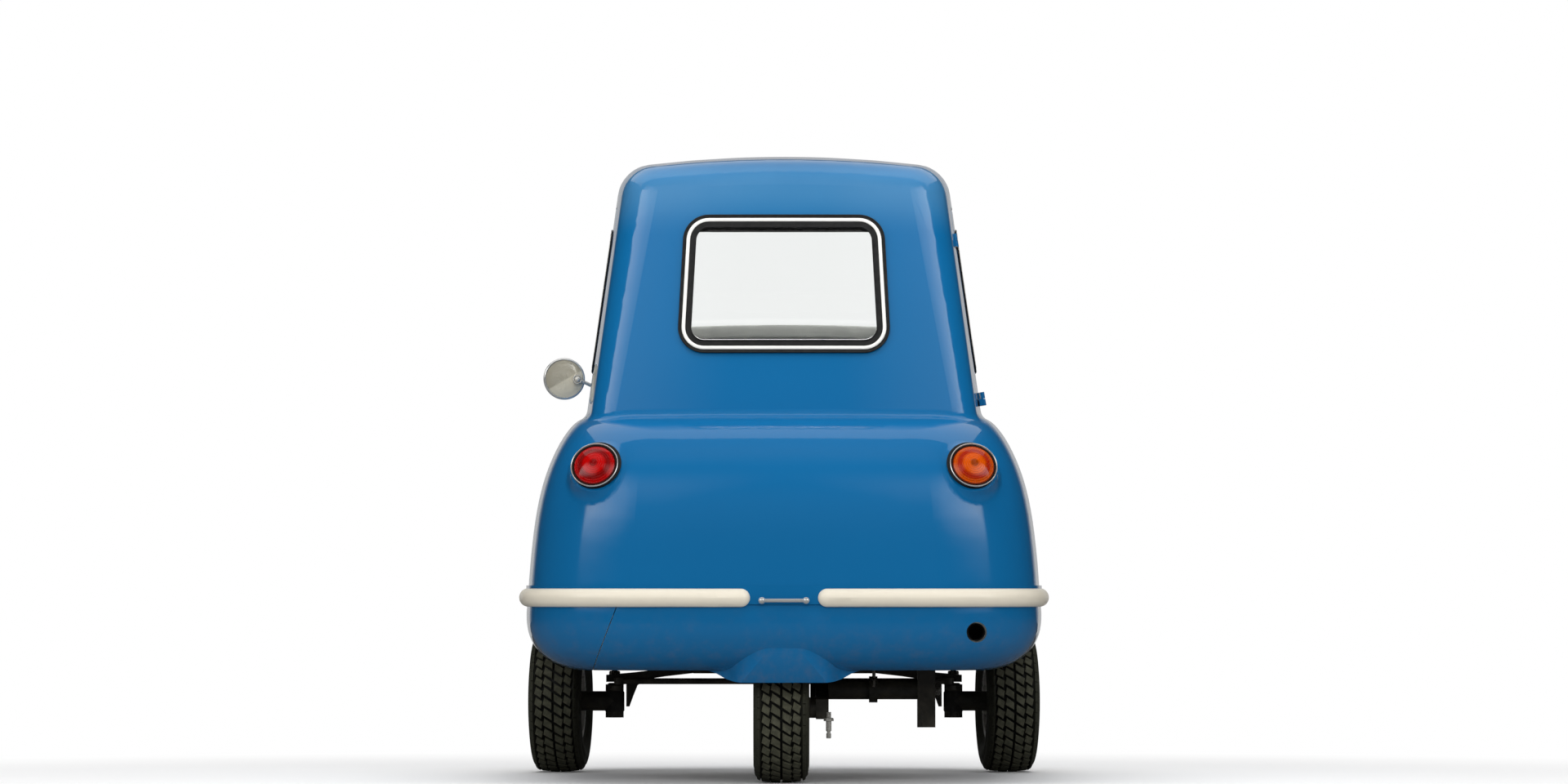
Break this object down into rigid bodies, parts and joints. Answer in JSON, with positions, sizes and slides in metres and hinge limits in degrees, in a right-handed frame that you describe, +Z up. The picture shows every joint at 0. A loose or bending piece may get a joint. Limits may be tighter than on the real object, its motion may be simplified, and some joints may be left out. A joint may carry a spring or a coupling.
{
  "type": "three wheeled microcar",
  "caption": "Blue single seat three wheeled microcar with a narrow tall cabin, cream bumpers, a side door and small wheels, two steered in front and one behind.",
  "frame": {"origin": "on the road at mid length of the car, on its centreline", "axes": "+Y forward, +X to the car's right, +Z up"},
  "size_m": [1.0144, 1.3685, 1.198],
  "materials": {
    "paint": "glossy blue gel coat on glass fibre",
    "bumper": "cream",
    "tyre": "matt",
    "rim": "silver",
    "glass": "clear",
    "seal": "matt with a bright filler strip",
    "chrome": "polished",
    "lens_red": "red lens in a chrome bezel",
    "lens_amber": "amber lens in a chrome bezel",
    "lens_clear": "clear lens in a chrome bezel",
    "black_metal": "black",
    "trim": "grained",
    "seat": "black seat cloth",
    "engine": "as cast"
  },
  "bodies": {
    "body": {"upper_body": "paint", "lower_body": "paint", "engine_panel": "paint", "side_panel_left": "paint", "rear_window_glass": "glass", "windscreen_glass": "glass", "side_window_left_glass": "glass", "rear_window_seal": "seal", "windscreen_seal": "seal", "side_window_left_seal": "seal", "bumper_rear_left": "bumper", "bumper_rear_right": "bumper", "bumper_front_left": "bumper", "bumper_front_right": "bumper", "rear_handle": "chrome", "tail_lamp_left": "lens_red", "tail_lamp_right": "lens_amber", "headlamp": "lens_clear", "indicator_left": "lens_amber", "indicator_right": "lens_amber", "mirror_arm": "chrome", "mirror_head": "chrome", "wiper": "black_metal", "seat_cushion": "seat", "seat_backrest": "seat", "seat_frame": "black_metal", "dash": "trim", "steering_column": "black_metal", "engine": "engine", "tail_pipe": "black_metal", "front_suspension": "black_metal", "rear_suspension": "black_metal"},
    "door": {"door": "paint", "side_window_right_glass": "glass", "side_window_right_seal": "seal"},
    "knuckle_left_body": {"knuckle_left": "black_metal"},
    "knuckle_right_body": {"knuckle_right": "black_metal"},
    "wheel_front_left": {"tyre_front_left": "tyre", "rim_front_left": "rim"},
    "wheel_front_right": {"tyre_front_right": "tyre", "rim_front_right": "rim"},
    "wheel_rear": {"tyre_rear": "tyre", "rim_rear": "rim"},
    "steering_wheel_body": {"steering_wheel": "trim"},
    "track_rod_body": {"track_rod": "black_metal"}
  },
  "joints": [
    {"name": "door_hinge", "type": "hinge", "parent": "body", "child": "door", "pos_m": [0.379, -0.264, 0.727], "axis": [0.1707, 0, -0.9853], "range_deg": [0, 65]},
    {"name": "steer_left", "type": "hinge", "parent": "body", "child": "knuckle_left_body", "pos_m": [-0.33741, 0.39059, 0.141], "axis": [0, 0, 1], "range_deg": [-20, 20]},
    {"name": "steer_right", "type": "hinge", "parent": "body", "child": "knuckle_right_body", "pos_m": [0.33741, 0.39059, 0.141], "axis": [0, 0, 1], "range_deg": [-20, 20]},
    {"name": "steering", "type": "hinge", "parent": "body", "child": "steering_wheel_body", "pos_m": [0, 0.15, 0.61], "axis": [0, -0.6877, 0.726], "range_deg": [-61, 61]},
    {"name": "track_rod_slide", "type": "slide", "parent": "body", "child": "track_rod_body", "axis": [1, 0, 0], "range_m": [-0.0222, 0.0222]},
    {"name": "spin_front_left", "type": "hinge", "parent": "knuckle_left_body", "child": "wheel_front_left", "pos_m": [-0.445, 0.4, 0.141], "axis": [0.9962, -0.0872, 0], "continuous": true},
    {"name": "spin_front_right", "type": "hinge", "parent": "knuckle_right_body", "child": "wheel_front_right", "pos_m": [0.445, 0.4, 0.141], "axis": [0.9962, 0.0872, 0], "continuous": true},
    {"name": "spin_rear", "type": "hinge", "parent": "body", "child": "wheel_rear", "pos_m": [-0.005, -0.46, 0.141], "axis": [1, 0, 0], "continuous": true}
  ],
  "couplings": [
    {"joint": "steer_right", "follows": "steer_left", "ratio": 1},
    {"joint": "steering", "follows": "steer_left", "ratio": 3},
    {"joint": "track_rod_slide", "follows": "steer_left", "m_per_rad": 0.062}
  ]
}
